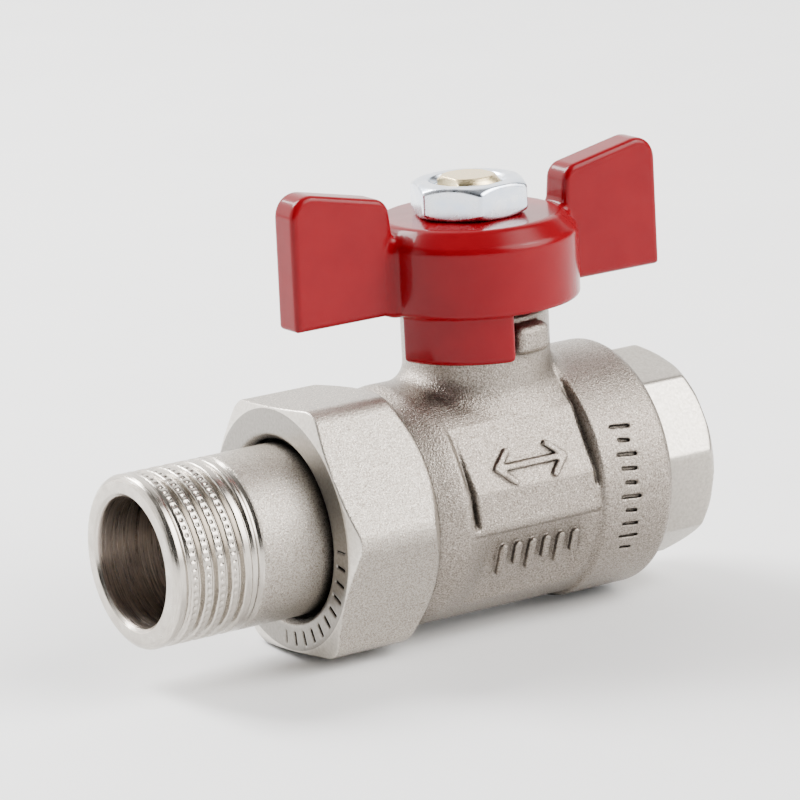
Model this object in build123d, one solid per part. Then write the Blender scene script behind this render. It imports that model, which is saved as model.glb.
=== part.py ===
"""Half-inch ball valve with a union tailpiece.

Frame: the pipe axis is X, the stem axis is Z, and they cross at the origin, which is the ball's centre.
The union tailpiece points along -X and the female end along +X. All lengths are millimetres.
The valve is drawn open, with the handle's wings along the pipe.
"""
import math
import os

from build123d import *

# ---------------------------------------------------------------- driving dimensions
RUN = 0.05                    # radial clearance between pieces that move on each other
SNUG = 0.02                   # clearance between pieces that stay put

# flow passage
BORE_R = 7.5                  # 15 mm bore through the ball and the insert
TAIL_BORE_R = 7.93            # bore of the tailpiece
HALF_INCH_MAJOR_R = 10.4775   # G 1/2 outside thread
HALF_INCH_MINOR_R = 9.32      # G 1/2 core
UNION_THREAD_R = 13.22        # G 3/4 outside thread of the union

# body forging
BODY_X0 = -16.1               # mouth, just behind the union nut
BODY_X1 = 26.4                # end of the female end
BARREL_R = 14.83
COLLAR_R = 15.35
COLLAR_X0 = 7.4
COLLAR_X1 = 18.3
PANEL_X0 = -10.9              # flattened, marked panels on both sides
PANEL_DEPTH = 0.55
OCTAGON_R = 13.19             # over the corners
OCTAGON_TURN = 80.9           # angle of one corner, from +Y towards +Z
FEMALE_THREAD_X0 = 14.4
CAVITY_R = 11.3
MOUTH_THREAD_R = 12.6
MOUTH_THREAD_X1 = -9.0
MOUTH_RECESS_R = 13.65
MOUTH_RECESS_X1 = -14.3

# stem boss and the stop lugs on it
BOSS_R = 9.05
BOSS_TOP = 22.6
LUG_R = 11.0
LUG_Z0 = 18.1
LUG_Z1 = 21.8
LUG_START = 98.5              # angle of the stop face from +X, on both sides of the pipe
LUG_END = 70.0

# ball and seats
BALL_R = 11.0
SLOT_W = 4.1
SLOT_FLOOR = 8.6
SEAT_R = 10.2
SEAT_BORE_R = 7.8
SEAT_X0 = 5.2
SEAT_X1 = 9.6
SEAT_POCKET_R = 10.25
SEAT_POCKET_X1 = 11.2
BACKING_SECTION = 1.46

# stem and its seals
STEM_R = 4.0
STEM_TOP = 38.6
TANG_W = 4.0
TANG_L = 9.0
STEM_COLLAR_R = 5.0
STEM_COLLAR_Z0 = 11.6
STEM_COLLAR_Z1 = 13.2
WASHER_TOP = 14.0
COLLAR_RECESS_R = 5.1
O_RING_GROOVES = (15.4, 17.4)
GROOVE_W = 1.4
GROOVE_R = 2.75
O_RING_SECTION = 1.26
PACKING_Z0 = 18.4
PACKING_Z1 = 19.9
PACKING_R = 6.0
GLAND_THREAD_R = 6.9
FOLLOWER_TOP = 20.5
GLAND_TOP = 22.9
STEM_FLAT = 3.0               # half the distance over the stem's two flats
STEM_FLAT_Z0 = 24.4

# union insert
ADAPTER_X0 = -25.05
ADAPTER_X1 = -5.1
ADAPTER_NOSE_R = 11.25
ADAPTER_SEAL_R = 11.1
ADAPTER_THREAD_X1 = -10.6
SOCKET_AF = 16.0
SOCKET_X1 = -21.0

# tailpiece
TAIL_X0 = -50.07
TAIL_THREAD_X1 = -38.85
TAIL_GROOVE_X1 = -38.25
TAIL_GROOVE_R = 10.15
NECK_R = 10.48
FLANGE_R = 12.4
FLANGE_X0 = -27.0
FACE_GROOVE = (9.6, 11.2)
FACE_GROOVE_DEPTH = 1.3

# union nut
NUT_X0 = -29.25
NUT_X1 = -16.2
NUT_AF = 30.0
NUT_EDGE_R = 1.2
NUT_TURN = 55.5               # angle of one corner, from +Y towards +Z
NUT_LIP_R = 10.9
NUT_MOUTH_R = 11.7
NUT_LIP_X1 = FLANGE_X0 - RUN
NUT_FACE_R = 14.75            # flat ring on both faces, inside the corner chamfers
NUT_FRONT_SLOPE = 0.37
NUT_BACK_SLOPE = 0.87

# handle
HUB_R = 13.0
HUB_Z0 = 24.0
HUB_Z1 = 34.1
WING_T = 4.5
WING_Z0 = 24.15
WING_EDGE_R = 1.2
WING_X = 26.65
WING_TOP_IN = 38.2
WING_TOP_OUT = 41.0
WING_TOP_X0 = 14.8
WING_DROP_X = 13.0
WING_END_DRAFT = 0.6
TAB_R0 = 9.6
TAB_R1 = 12.2
TAB_Z0 = 17.8
TAB_START = -170.0
TAB_END = -100.0

# handle nut
TOP_NUT_AF = 13.0
TOP_NUT_Z0 = 34.15
TOP_NUT_Z1 = 38.35
TOP_NUT_TURN = -112.4

ALONG_X = Plane(origin=(0, 0, 0), x_dir=(0, 1, 0), z_dir=(1, 0, 0))


# ---------------------------------------------------------------- helpers
def rounded_face(*corners):
    """Flat face from (x, y, corner radius) corners, in order around it."""
    points = [Vector(x, y) for x, y, radius in corners]
    stretches = []
    for i, (x, y, radius) in enumerate(corners):
        here = points[i]
        back = (points[i - 1] - here).normalized()
        ahead = (points[(i + 1) % len(points)] - here).normalized()
        half_angle = math.acos(back.dot(ahead)) / 2
        cut = radius / math.tan(half_angle)
        inward = (back + ahead).normalized()
        middle = here + inward * (radius / math.sin(half_angle) - radius)
        stretches.append((here + back * cut, middle, here + ahead * cut))
    edges = []
    for i, (start, middle, end) in enumerate(stretches):
        if corners[i][2] > 0:
            edges.append(ThreePointArc(start, middle, end))
        edges.append(Line(end, stretches[(i + 1) % len(stretches)][0]))
    return make_face(Curve() + edges)


def turned_x(*points):
    """Solid of revolution about the pipe axis from (x, radius) points."""
    face = make_face(Polyline(*points, close=True))
    return revolve(face, Axis.X, 360)


def turned_z(*points):
    """Solid of revolution about the stem axis from (radius, z) points."""
    face = make_face(Polyline(*points, close=True))
    return revolve(Plane.XZ * face, Axis.Z, 360)


def rod_x(radius, x0, x1):
    """Cylinder about the pipe axis."""
    return turned_x((x0, 0), (x0, radius), (x1, radius), (x1, 0))


def rod_z(radius, z0, z1):
    """Cylinder about the stem axis."""
    return turned_z((0, z0), (radius, z0), (radius, z1), (0, z1))


def tube_x(outer, inner, x0, x1):
    """Plain ring about the pipe axis."""
    return turned_x((x0, inner), (x0, outer), (x1, outer), (x1, inner))


def tube_z(outer, inner, z0, z1):
    """Plain ring about the stem axis."""
    return turned_z((inner, z0), (outer, z0), (outer, z1), (inner, z1))


def prism_x(radius, sides, turn, x0, x1):
    """Regular prism about the pipe axis with one corner at the given angle from +Y."""
    sketch = RegularPolygon(radius, sides, rotation=turn)
    return Pos(x0, 0, 0) * extrude(ALONG_X * sketch, x1 - x0)


def prism_z(radius, sides, turn, z0, z1):
    """Regular prism about the stem axis with one corner at the given angle from +X."""
    sketch = RegularPolygon(radius, sides, rotation=turn)
    return Pos(0, 0, z0) * extrude(sketch, z1 - z0)


def sector_z(inner, outer, start, end, z0, z1):
    """Block between two radii and two angles about the stem axis."""
    steps = 12
    angles = [math.radians(start + (end - start) * i / steps) for i in range(steps + 1)]
    reach = outer * 1.5
    wedge = [(0, 0)] + [(reach * math.cos(a), reach * math.sin(a)) for a in angles]
    block = Pos(0, 0, z0) * extrude(make_face(Polyline(*wedge, close=True)), z1 - z0)
    return block & tube_z(outer, inner, z0, z1)


def o_ring_x(middle_r, section, x):
    """Rubber ring about the pipe axis."""
    circle = Pos(x, middle_r) * Circle(section / 2)
    return revolve(circle, Axis.X, 360)


def o_ring_z(middle_r, section, z):
    """Rubber ring about the stem axis."""
    circle = Pos(middle_r, z) * Circle(section / 2)
    return revolve(Plane.XZ * circle, Axis.Z, 360)


# ---------------------------------------------------------------- body
def forging():
    """Outside of the body, without its cavities."""
    corners = (
        (BODY_X0, 0, 0),
        (BODY_X0, BARREL_R, 0.5),
        (COLLAR_X0 - 2.2, BARREL_R, 1.5),
        (COLLAR_X0 - 0.6, COLLAR_R, 1.0),
        (COLLAR_X1, COLLAR_R, 1.5),
        (COLLAR_X1, 0, 0),
    )
    barrel = revolve(rounded_face(*corners), Axis.X, 360)
    barrel -= side_panels()
    boss = rod_z(BOSS_R, 0, BOSS_TOP)
    shell = barrel + boss
    octagon = prism_x(OCTAGON_R, 8, OCTAGON_TURN, COLLAR_X1 - 1, BODY_X1)
    end_chamfer = turned_x(
        (COLLAR_X1 - 1, 0),
        (COLLAR_X1 - 1, OCTAGON_R + 1),
        (BODY_X1 - 1.1, OCTAGON_R + 0.3),
        (BODY_X1, OCTAGON_R - 1.1),
        (BODY_X1, 0),
    )
    shell += octagon & end_chamfer
    shell += stop_lug(1) + stop_lug(-1)
    return shell


def side_panels():
    """Shallow recesses that leave a flattened, marked panel on each side of the barrel."""
    floor_r = BARREL_R - PANEL_DEPTH
    length = COLLAR_X0 - 1.2 - PANEL_X0
    ring = tube_x(BARREL_R + 2, floor_r, PANEL_X0, PANEL_X0 + length)
    window = Pos(PANEL_X0 + length / 2, 0, 3) * Box(length, 4 * BARREL_R, 20)
    return ring & window


def stop_lug(side):
    """Block on the boss that the handle's tab runs against."""
    start, end = sorted((side * LUG_START, side * LUG_END))
    return sector_z(BOSS_R - 1, LUG_R, start, end, LUG_Z0, LUG_Z1)


def valve_body():
    """Forged brass body, nickel plated."""
    body = forging()
    body -= turned_x(
        (BODY_X0 - 1, 0),
        (BODY_X0 - 1, MOUTH_RECESS_R),
        (MOUTH_RECESS_X1, MOUTH_RECESS_R),
        (MOUTH_RECESS_X1, MOUTH_THREAD_R),
        (MOUTH_THREAD_X1, MOUTH_THREAD_R),
        (MOUTH_THREAD_X1, CAVITY_R),
        (3.6, CAVITY_R),
        (4.6, SEAT_POCKET_R),
        (SEAT_POCKET_X1, SEAT_POCKET_R),
        (SEAT_POCKET_X1, BORE_R),
        (FEMALE_THREAD_X0, BORE_R),
        (FEMALE_THREAD_X0, HALF_INCH_MINOR_R),
        (BODY_X1 - 0.9, HALF_INCH_MINOR_R),
        (BODY_X1 + 0.1, HALF_INCH_MAJOR_R),
        (BODY_X1 + 0.1, 0),
    )
    body -= turned_z(
        (0, 0),
        (COLLAR_RECESS_R, 0),
        (COLLAR_RECESS_R, WASHER_TOP),
        (STEM_R + RUN, WASHER_TOP),
        (STEM_R + RUN, PACKING_Z0),
        (PACKING_R, PACKING_Z0),
        (PACKING_R, PACKING_Z1),
        (GLAND_THREAD_R, PACKING_Z1),
        (GLAND_THREAD_R, BOSS_TOP + 0.1),
        (0, BOSS_TOP + 0.1),
    )
    return body


# ---------------------------------------------------------------- union
def union_adapter():
    """Insert that closes the body, holds a seat and carries the union nut's thread."""
    insert = turned_x(
        (ADAPTER_X0, BORE_R),
        (ADAPTER_X0, UNION_THREAD_R - 0.8),
        (ADAPTER_X0 + 0.8, UNION_THREAD_R),
        (BODY_X0, UNION_THREAD_R),
        (BODY_X0, MOUTH_RECESS_R - RUN),
        (MOUTH_RECESS_X1 - SNUG, MOUTH_RECESS_R - RUN),
        (MOUTH_RECESS_X1 - SNUG, MOUTH_THREAD_R - SNUG),
        (ADAPTER_THREAD_X1, MOUTH_THREAD_R - SNUG),
        (ADAPTER_THREAD_X1, ADAPTER_SEAL_R),
        (MOUTH_THREAD_X1, ADAPTER_SEAL_R),
        (MOUTH_THREAD_X1, ADAPTER_NOSE_R),
        (ADAPTER_X1, ADAPTER_NOSE_R),
        (ADAPTER_X1, SEAT_POCKET_R),
        (-SEAT_POCKET_X1, SEAT_POCKET_R),
        (-SEAT_POCKET_X1, BORE_R),
    )
    socket = prism_x(SOCKET_AF / math.sqrt(3), 6, 0, ADAPTER_X0 - 0.1, SOCKET_X1)
    return insert - socket


def adapter_o_ring():
    """Ring between the insert's thread and the body's inner shoulder."""
    middle_r = (ADAPTER_SEAL_R + MOUTH_THREAD_R) / 2
    section = MOUTH_THREAD_R - ADAPTER_SEAL_R - 2 * SNUG
    middle_x = (ADAPTER_THREAD_X1 + MOUTH_THREAD_X1) / 2
    return o_ring_x(middle_r, section, middle_x)


def union_nut():
    """Hexagon nut with chamfered corners, a thread at the back and a lip at the front."""
    rise = UNION_THREAD_R
    corner_r = NUT_AF / math.sqrt(3)
    sketch = fillet(RegularPolygon(corner_r, 6, rotation=NUT_TURN).vertices(), NUT_EDGE_R)
    hexagon = Pos(NUT_X0, 0, 0) * extrude(ALONG_X * sketch, NUT_X1 - NUT_X0)
    outside = turned_x(
        (NUT_X0, 0),
        (NUT_X0, NUT_FACE_R),
        (NUT_X0 + NUT_FRONT_SLOPE * rise, NUT_FACE_R + rise),
        (NUT_X1 - NUT_BACK_SLOPE * rise, NUT_FACE_R + rise),
        (NUT_X1, NUT_FACE_R),
        (NUT_X1, 0),
    )
    mouth_depth = NUT_MOUTH_R - NUT_LIP_R
    inside = turned_x(
        (NUT_X0 - 0.1, 0),
        (NUT_X0 - 0.1, NUT_MOUTH_R),
        (NUT_X0, NUT_MOUTH_R),
        (NUT_X0 + mouth_depth, NUT_LIP_R),
        (NUT_LIP_X1, NUT_LIP_R),
        (NUT_LIP_X1, UNION_THREAD_R + RUN),
        (NUT_X1 - 0.8, UNION_THREAD_R + RUN),
        (NUT_X1, UNION_THREAD_R + 0.8),
        (NUT_X1 + 0.1, UNION_THREAD_R + 0.8),
        (NUT_X1 + 0.1, 0),
    )
    return (hexagon & outside) - inside


def tailpiece():
    """Threaded tail with a plain neck and the flange that the union nut pulls on."""
    flange_x1 = ADAPTER_X0 - SNUG
    pipe = turned_x(
        (TAIL_X0, TAIL_BORE_R + 0.5),
        (TAIL_X0, HALF_INCH_MAJOR_R - 0.9),
        (TAIL_X0 + 0.9, HALF_INCH_MAJOR_R),
        (TAIL_THREAD_X1, HALF_INCH_MAJOR_R),
        (TAIL_THREAD_X1, TAIL_GROOVE_R),
        (TAIL_GROOVE_X1, TAIL_GROOVE_R),
        (TAIL_GROOVE_X1, NECK_R),
        (FLANGE_X0, NECK_R),
        (FLANGE_X0, FLANGE_R),
        (flange_x1, FLANGE_R),
        (flange_x1, TAIL_BORE_R),
        (TAIL_X0 + 0.5, TAIL_BORE_R),
    )
    groove = tube_x(FACE_GROOVE[1], FACE_GROOVE[0], flange_x1 - FACE_GROOVE_DEPTH, flange_x1 + 0.1)
    return pipe - groove


def tailpiece_o_ring():
    """Face seal in the flange's groove."""
    section = FACE_GROOVE_DEPTH - 2 * SNUG
    middle_r = (FACE_GROOVE[0] + FACE_GROOVE[1]) / 2
    return o_ring_x(middle_r, section, ADAPTER_X0 - SNUG - FACE_GROOVE_DEPTH / 2)


# ---------------------------------------------------------------- ball and seats
def ball():
    """Chromed ball, drilled along the pipe, with a slot across its top for the stem's tang."""
    drilled = Sphere(BALL_R) - rod_x(BORE_R, -BALL_R, BALL_R)
    slot_h = BALL_R - SLOT_FLOOR
    slot = Pos(0, 0, SLOT_FLOOR + slot_h) * Box(SLOT_W, 2 * BALL_R, 2 * slot_h)
    return drilled - slot


def seat_ring(side):
    """Soft seat with a spherical face towards the ball."""
    face_r = BALL_R + RUN
    arc_outer = Vector(SEAT_X0, math.sqrt(face_r**2 - SEAT_X0**2))
    arc_inner = Vector(math.sqrt(face_r**2 - SEAT_BORE_R**2), SEAT_BORE_R)
    arc_middle = (arc_outer + arc_inner).normalized() * face_r
    outline = Polyline(
        arc_inner,
        (SEAT_X1, SEAT_BORE_R),
        (SEAT_X1, SEAT_R),
        (SEAT_X0, SEAT_R),
        arc_outer,
    )
    spherical_face = ThreePointArc(arc_outer, arc_middle, arc_inner)
    ring = revolve(make_face(outline + spherical_face), Axis.X, 360)
    return ring if side > 0 else mirror(ring, Plane.YZ)


def seat_backing_ring(side):
    """Rubber ring behind a seat."""
    middle_r = SEAT_POCKET_R - SNUG - BACKING_SECTION / 2
    middle_x = (SEAT_X1 + SEAT_POCKET_X1) / 2
    return o_ring_x(middle_r, BACKING_SECTION, side * middle_x)


# ---------------------------------------------------------------- stem and its seals
def double_d(radius, half_flat, z0, z1):
    """Rod about the stem axis with two flats, which face the wings."""
    bar = Pos(0, 0, (z0 + z1) / 2) * Box(2 * half_flat, 4 * radius, z1 - z0)
    return rod_z(radius, z0, z1) & bar


def stem():
    """Stem with a tang, a collar that holds it in, two ring grooves and a flatted, threaded end."""
    tang_h = STEM_COLLAR_Z0 - SLOT_FLOOR - 0.1
    rod = Pos(0, 0, STEM_COLLAR_Z0 - tang_h / 2) * Box(TANG_W, TANG_L, tang_h)
    rod += rod_z(STEM_COLLAR_R, STEM_COLLAR_Z0, STEM_COLLAR_Z1)
    rod += rod_z(STEM_R, STEM_COLLAR_Z1, STEM_FLAT_Z0)
    rod += double_d(STEM_R, STEM_FLAT, STEM_FLAT_Z0, STEM_TOP)
    for z in O_RING_GROOVES:
        rod -= tube_z(STEM_R + 1, GROOVE_R, z - GROOVE_W / 2, z + GROOVE_W / 2)
    tip = turned_z(
        (0, 0),
        (BALL_R, 0),
        (BALL_R, STEM_TOP - 6),
        (STEM_R, STEM_TOP - 0.5),
        (STEM_R - 0.5, STEM_TOP),
        (0, STEM_TOP),
    )
    return rod & tip


def stem_o_ring(z):
    """Ring in one of the stem's grooves."""
    return o_ring_z(STEM_R + RUN - SNUG - O_RING_SECTION / 2, O_RING_SECTION, z)


def stem_thrust_washer():
    """Washer between the stem's collar and the shoulder under the boss."""
    return tube_z(COLLAR_RECESS_R - RUN, STEM_R + 0.1, STEM_COLLAR_Z1 + RUN, WASHER_TOP - SNUG)


def stem_packing():
    """Packing ring around the stem."""
    return tube_z(PACKING_R - SNUG, STEM_R + RUN, PACKING_Z0 + SNUG, PACKING_Z1 - SNUG)


def packing_follower():
    """Washer that spreads the gland nut's load."""
    return tube_z(GLAND_THREAD_R - 0.2, STEM_R + 0.1, PACKING_Z1 + SNUG, FOLLOWER_TOP - SNUG)


def gland_nut():
    """Slotted ring nut in the top of the boss."""
    ring = tube_z(GLAND_THREAD_R - SNUG, STEM_R + 0.1, FOLLOWER_TOP, GLAND_TOP)
    slot = Pos(0, 0, GLAND_TOP) * Box(1.2, 4 * GLAND_THREAD_R, 1.6)
    return ring - slot - Rot(0, 0, 90) * slot


# ---------------------------------------------------------------- handle
def wings():
    """Plate that makes both wings, which rise towards their outer ends."""
    one_side = [
        (WING_DROP_X - 0.6, HUB_Z1 - 1, 0),
        (WING_DROP_X, WING_TOP_IN, 1.2),
        (WING_TOP_X0, WING_TOP_IN, 3.0),
        (WING_X - WING_END_DRAFT, WING_TOP_OUT, 2.8),
        (WING_X, WING_Z0, 1.0),
    ]
    other_side = [(-x, z, radius) for x, z, radius in reversed(one_side)]
    outline = rounded_face(*one_side, *other_side)
    plate = extrude(Plane.XZ * outline, WING_T / 2, both=True)
    rims = plate.faces().filter_by(Axis.Y).edges()
    return fillet(rims, WING_EDGE_R)


def handle():
    """Cast butterfly handle: hub, two wings and the tab that runs between the stop lugs."""
    hub = rod_z(HUB_R, HUB_Z0, HUB_Z1)
    hub = fillet(hub.edges().group_by(Axis.Z)[-1], 1.5)
    hub = fillet(hub.edges().group_by(Axis.Z)[0], 0.8)
    body = hub + wings()
    body += sector_z(TAB_R0, TAB_R1, TAB_START, TAB_END, TAB_Z0, HUB_Z0 + 2)
    body -= rod_z(STEM_R + RUN, HUB_Z0 - 1, STEM_FLAT_Z0 + RUN)
    body -= double_d(STEM_R + RUN, STEM_FLAT + RUN, STEM_FLAT_Z0 - 0.1, HUB_Z1 + 10)
    return body


def handle_nut():
    """Hexagon nut that holds the handle down."""
    corner_r = TOP_NUT_AF / math.sqrt(3)
    hexagon = prism_z(corner_r, 6, TOP_NUT_TURN, TOP_NUT_Z0, TOP_NUT_Z1)
    half_af = TOP_NUT_AF / 2
    rise = 5.0
    outside = turned_z(
        (0, TOP_NUT_Z0),
        (half_af, TOP_NUT_Z0),
        (half_af + rise, TOP_NUT_Z0 + rise * 0.6),
        (half_af + rise, TOP_NUT_Z1 - rise * 0.6),
        (half_af, TOP_NUT_Z1),
        (0, TOP_NUT_Z1),
    )
    bore = turned_z(
        (0, TOP_NUT_Z0 - 0.1),
        (STEM_R + RUN, TOP_NUT_Z0 - 0.1),
        (STEM_R + RUN, TOP_NUT_Z1 - 0.6),
        (STEM_R + RUN + 0.6, TOP_NUT_Z1),
        (STEM_R + RUN + 0.6, TOP_NUT_Z1 + 0.1),
        (0, TOP_NUT_Z1 + 0.1),
    )
    return (hexagon & outside) - bore


# ---------------------------------------------------------------- assembly
PIECES = {
    "valve_body": valve_body(),
    "union_adapter": union_adapter(),
    "adapter_o_ring": adapter_o_ring(),
    "union_nut": union_nut(),
    "tailpiece": tailpiece(),
    "tailpiece_o_ring": tailpiece_o_ring(),
    "ball": ball(),
    "seat_ring_body_side": seat_ring(1),
    "seat_ring_union_side": seat_ring(-1),
    "seat_backing_ring_body_side": seat_backing_ring(1),
    "seat_backing_ring_union_side": seat_backing_ring(-1),
    "stem": stem(),
    "stem_thrust_washer": stem_thrust_washer(),
    "stem_o_ring_lower": stem_o_ring(O_RING_GROOVES[0]),
    "stem_o_ring_upper": stem_o_ring(O_RING_GROOVES[1]),
    "stem_packing": stem_packing(),
    "packing_follower": packing_follower(),
    "gland_nut": gland_nut(),
    "handle": handle(),
    "handle_nut": handle_nut(),
}

os.makedirs("parts", exist_ok=True)
for name, shape in PIECES.items():
    export_step(shape, f"parts/{name}.step")
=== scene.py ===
"""Looks of the half-inch ball valve with a union tailpiece.

The forged, cast and machined pieces are sculpted here as distance fields (lengths in millimetres, in the
part's own frame: +X along the pipe, +Z up the stem, the ball's centre at the origin) and turned into meshes.
The other pieces, which sit inside the valve, keep their CAD meshes.
"""
import math

import bpy
import numpy as np
import openvdb
from mathutils import Matrix, Vector


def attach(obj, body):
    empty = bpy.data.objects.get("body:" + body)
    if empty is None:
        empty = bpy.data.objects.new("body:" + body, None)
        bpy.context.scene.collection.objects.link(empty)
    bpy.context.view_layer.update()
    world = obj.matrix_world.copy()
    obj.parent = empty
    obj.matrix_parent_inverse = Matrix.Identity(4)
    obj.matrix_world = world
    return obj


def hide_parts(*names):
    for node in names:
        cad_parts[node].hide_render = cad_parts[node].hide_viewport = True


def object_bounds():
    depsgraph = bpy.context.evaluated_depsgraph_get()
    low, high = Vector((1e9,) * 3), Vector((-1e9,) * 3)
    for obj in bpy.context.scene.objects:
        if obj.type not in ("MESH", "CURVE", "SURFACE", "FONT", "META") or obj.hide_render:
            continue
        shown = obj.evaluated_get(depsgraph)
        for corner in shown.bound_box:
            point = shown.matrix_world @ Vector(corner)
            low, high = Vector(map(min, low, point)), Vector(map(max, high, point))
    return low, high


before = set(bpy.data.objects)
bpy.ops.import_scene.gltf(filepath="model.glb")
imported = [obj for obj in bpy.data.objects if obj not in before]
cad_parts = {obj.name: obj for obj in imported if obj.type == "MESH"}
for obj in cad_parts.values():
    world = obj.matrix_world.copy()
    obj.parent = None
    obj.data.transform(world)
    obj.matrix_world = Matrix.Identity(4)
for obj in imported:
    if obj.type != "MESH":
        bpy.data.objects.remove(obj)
CAD_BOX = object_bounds()

MM = 0.001                                  # a millimetre in Blender's metres
COARSER = 1.0        # coarser grids while trying things

# ------------------------------------------------------------------------------------- dimensions
# X0 and X1, or Z0 and Z1, are where something starts and ends. R is a radius and FLAT the distance of flats
# from the axis. In degrees, TURN is the angle of one corner, FACING the angle at which something sits, and
# HALF_TURN half of the angle that it takes up.

# shared
BORE_R = 7.5
RUN = 0.05                                  # play between pieces that move past each other
PITCH = 1.814                               # of the half-inch threads and of the union thread
HALF_INCH_R = 10.4775
HALF_INCH_CORE_R = 9.32
UNION_R = 13.22
THREAD_DEPTH = 1.0

# body
BODY_X0, BODY_X1 = -16.1, 26.4
BARREL_R = 14.83
COLLAR_X0, COLLAR_X1, COLLAR_R = 7.4, 18.3, 15.35
OCTAGON_FLAT, OCTAGON_TURN = 12.19, 80.9
OCTAGON_END_R = 12.15                       # where the bevel at its end starts
BOSS_R, BOSS_TOP = 9.05, 22.6
LUG_Z0, LUG_Z1, LUG_R = 18.1, 21.8, 11.1
LUG_FACING, LUG_HALF_TURN = 82.0, 16.5
CHAMBER_X1, CHAMBER_R = 3.6, 11.3           # room for the ball
SEAT_SLOPE, SEAT_R, SEAT_X1 = 1.05, 10.25, 11.2
THREAD_X0 = 14.4
THREAD_INSIDE_R, THREAD_OUTSIDE_R = 8.5, 10.8    # radii that the female thread lies between
SEAL_Z0, SEAL_R = 18.4, 6.0
GLAND_Z0, GLAND_R = 19.9, 6.9

# panels on both sides of the body, in degrees around the pipe: 90 on top, 180 at mid height
PANEL_TOP, PANEL_STEP, PANEL_BOTTOM = 118, 186.5, 229       # the step is between the upper and lower panel
UPPER_FACETS = ((122, 14.8), (150, 14.2), (172, 14.75))     # (facing, distance from the axis)
LOWER_FACET = (206, 13.8)
CREASE_X0, CREASE_X1 = -10.75, 7.05

# marks on the body
MARK_R = 14.5                               # radius at which their heights are measured
ARROW_FACING, BARS_FACING = 147.0, 193.5
MARK_MIDDLE, MARK_HALF = 2.4, 1.9           # height of their middle, and half their size
ARROW_X0, ARROW_X1, ARROW_HEAD = -6.7, 3.1, 2.0
ARROW_RISE, ARROW_HALF_WIDTH = 0.5, 0.43
BARS, BAR_X0, BAR_SPACING, BAR_LEAN = 6, -6.6, 2.1, 0.25
BAR_RISE, BAR_HALF_WIDTH = 0.65, 0.5
SHORT_BAR = 1.2                             # how much lower every second bar is
TALLY_X, TALLY_HALF_LENGTH, TALLY_HALF_WIDTH = 11.5, 1.25, 0.22
TALLY_LEAN, TALLY_DEPTH = 0.25, 0.5
TALLY_FACING, TALLY_STEP = 149, 6.6         # of the first tick, and from one to the next
TALLY_LENGTHS = (1.0, 0.55, 1.0, 0.8, 0.55, 1.0, 0.55, 0.8, 1.0, 0.55)

# union nut
NUT_X0, NUT_X1 = -29.25, -16.2
NUT_FLAT, NUT_TURN = 15.0, 55.5
NUT_FACE_R = 14.75                          # where the bevels at both ends start
NUT_FRONT_SLOPE, NUT_BACK_SLOPE = 0.37, 0.87
NUT_LIP_R, NUT_LIP_X1 = 10.9, -26.5         # opening for the tailpiece's neck
NUT_THREAD_DEPTH = 0.25
TICK_R, TICK_HALF_LENGTH, TICK_HALF_WIDTH, TICK_DEPTH = 13.3, 0.85, 0.16, 0.45
TICK_STEP = 9.0
TICKS_FACING, TICKS_HALF_TURN = 225, 45

# tailpiece
TAIL_X0, TAIL_BORE_R = -50.07, 7.93
TAIL_THREAD_X1 = -38.85
TAIL_THREAD_DEPTH = 0.75
NECK_X0, NECK_R = -37.95, 10.48
NECK_GROOVE_R = 10.2
FLANGE_X0, FLANGE_X1, FLANGE_R = -27.0, -25.07, 12.4
FACE_GROOVE_R0, FACE_GROOVE_R1, FACE_GROOVE_DEPTH = 9.6, 11.2, 1.3      # for the seal in the flange's face
DENTS = 66                                  # to each turn of the thread's crest
DENT_DEPTH = 0.15

# union insert
INSERT_X0, INSERT_X1 = -25.05, -5.1
RIM_X1, RIM_R = -14.32, 13.6
PLUG_X1, PLUG_R = -10.6, 12.57
NOSE_R, SEAT_POCKET_R, SEAT_POCKET_X0 = 11.1, 10.27, -11.2
SOCKET_FLAT, SOCKET_X1 = 8.0, -21.0         # hexagon that it is screwed in with

# handle
HUB_R, HUB_Z0, HUB_Z1 = 13.0, 23.7, 34.1
HUB_TOP_R = 10.9                            # where the hub's bevel starts
WING_TOP_X, WING_TOP_Z, WING_RISE = 14.8, 38.25, 0.205      # a point of a wing's top edge, and its slope
WING_X, WING_HALF = 26.6, 2.22              # reach of a wing, and half its thickness
WING_ROOT_X = 12.95                         # where a wing steps up beside the hub
TAB_R0, TAB_R1, TAB_Z0 = 9.6, 12.2, 17.85
TAB_FACING, TAB_HALF_TURN = 225.0, 34.6

# stem and the nut on it
STEM_R, STEM_TOP = 4.0, 38.85
STEM_END_R = 3.2                            # of its end face, inside the bevel
STEM_PITCH = 1.25
STEM_FLAT, STEM_FLAT_Z0 = 3.0, 24.0         # the two flats that turn with the handle
STEM_COLLAR_R, STEM_COLLAR_Z0, STEM_COLLAR_Z1 = 5.0, 11.6, 13.2
TANG_HALF_X, TANG_HALF_Y, TANG_Z0 = 2.0, 4.5, 8.7
RING_GROOVES, RING_GROOVE_R, RING_GROOVE_HALF = (15.4, 17.4), 2.75, 0.7     # for the two O-rings
TOP_NUT_Z0, TOP_NUT_Z1 = 34.15, 38.35
TOP_NUT_FLAT, TOP_NUT_TURN = 6.5, -112.4
TOP_NUT_FACE_R, TOP_NUT_FACE_SLOPE = 6.3, 0.62      # where its upper bevel starts, and how steep it is
TOP_NUT_FOOT_R, TOP_NUT_FOOT_SLOPE = 6.45, 0.6      # the same for its lower bevel


# ------------------------------------------------------------------------------------- distance fields
def grid(low, high, step):
    """Open coordinate arrays over a box, and its low corner and step for mesh_of()."""
    step = step * COARSER
    axes = [np.arange(a, b + step, step, dtype=np.float32) for a, b in zip(low, high)]
    x, y, z = np.meshgrid(*axes, indexing="ij", sparse=True)
    return x, y, z, (low, step)


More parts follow.
